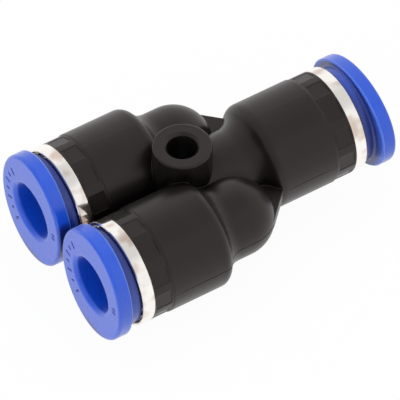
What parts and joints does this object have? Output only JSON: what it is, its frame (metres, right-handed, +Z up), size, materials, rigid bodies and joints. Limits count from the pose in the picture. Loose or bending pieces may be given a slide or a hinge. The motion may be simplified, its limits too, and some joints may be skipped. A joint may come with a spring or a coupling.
{
  "type": "tubing y connector",
  "caption": "Push-in Y union for plastic tube: black moulded body with a screw boss, blue oval release sleeves and bright metal rings.",
  "frame": {"origin": "on the axis of the screw hole, half way up the boss", "axes": "+X along the single port, with the two branches pointing along -X; +Y across the branches; +Z up along the screw hole"},
  "size_m": [0.0376, 0.0242, 0.0142],
  "materials": {
    "body_plastic": "satin black moulded plastic",
    "release_plastic": "smooth blue moulded acetal",
    "plated_ring": "bright nickel-plated brass",
    "claw_steel": "stainless spring steel",
    "support_plastic": "natural acetal",
    "seal_rubber": "black nitrile rubber"
  },
  "bodies": {
    "fitting": {"body": "body_plastic", "retaining_ring_stem": "plated_ring", "support_ring_stem": "support_plastic", "seal_stem": "seal_rubber", "retaining_ring_branch_left": "plated_ring", "support_ring_branch_left": "support_plastic", "seal_branch_left": "seal_rubber", "retaining_ring_branch_right": "plated_ring", "support_ring_branch_right": "support_plastic", "seal_branch_right": "seal_rubber"},
    "claw_stem": {"grip_claw_stem": "claw_steel"},
    "sleeve_stem": {"release_sleeve_stem": "release_plastic"},
    "claw_branch_left": {"grip_claw_branch_left": "claw_steel"},
    "sleeve_branch_left": {"release_sleeve_branch_left": "release_plastic"},
    "claw_branch_right": {"grip_claw_branch_right": "claw_steel"},
    "sleeve_branch_right": {"release_sleeve_branch_right": "release_plastic"}
  },
  "joints": [
    {"name": "turn_stem", "type": "hinge", "parent": "fitting", "child": "claw_stem", "pos_m": [0.01812, 0, 0], "axis": [1, 0, 0], "continuous": true},
    {"name": "push_stem", "type": "slide", "parent": "claw_stem", "child": "sleeve_stem", "axis": [-1, 0, 0], "range_m": [0, 0.0009], "deforming": ["grip_claw_stem"]},
    {"name": "turn_branch_left", "type": "hinge", "parent": "fitting", "child": "claw_branch_left", "pos_m": [-0.01085, 0.0061, 0], "axis": [1, 0, 0], "range_deg": [-27, 16]},
    {"name": "push_branch_left", "type": "slide", "parent": "claw_branch_left", "child": "sleeve_branch_left", "axis": [1, 0, 0], "range_m": [0, 0.0009], "deforming": ["grip_claw_branch_left"]},
    {"name": "turn_branch_right", "type": "hinge", "parent": "fitting", "child": "claw_branch_right", "pos_m": [-0.01085, -0.0061, 0], "axis": [1, 0, 0], "range_deg": [-27, 16]},
    {"name": "push_branch_right", "type": "slide", "parent": "claw_branch_right", "child": "sleeve_branch_right", "axis": [1, 0, 0], "range_m": [0, 0.0009], "deforming": ["grip_claw_branch_right"]}
  ]
}
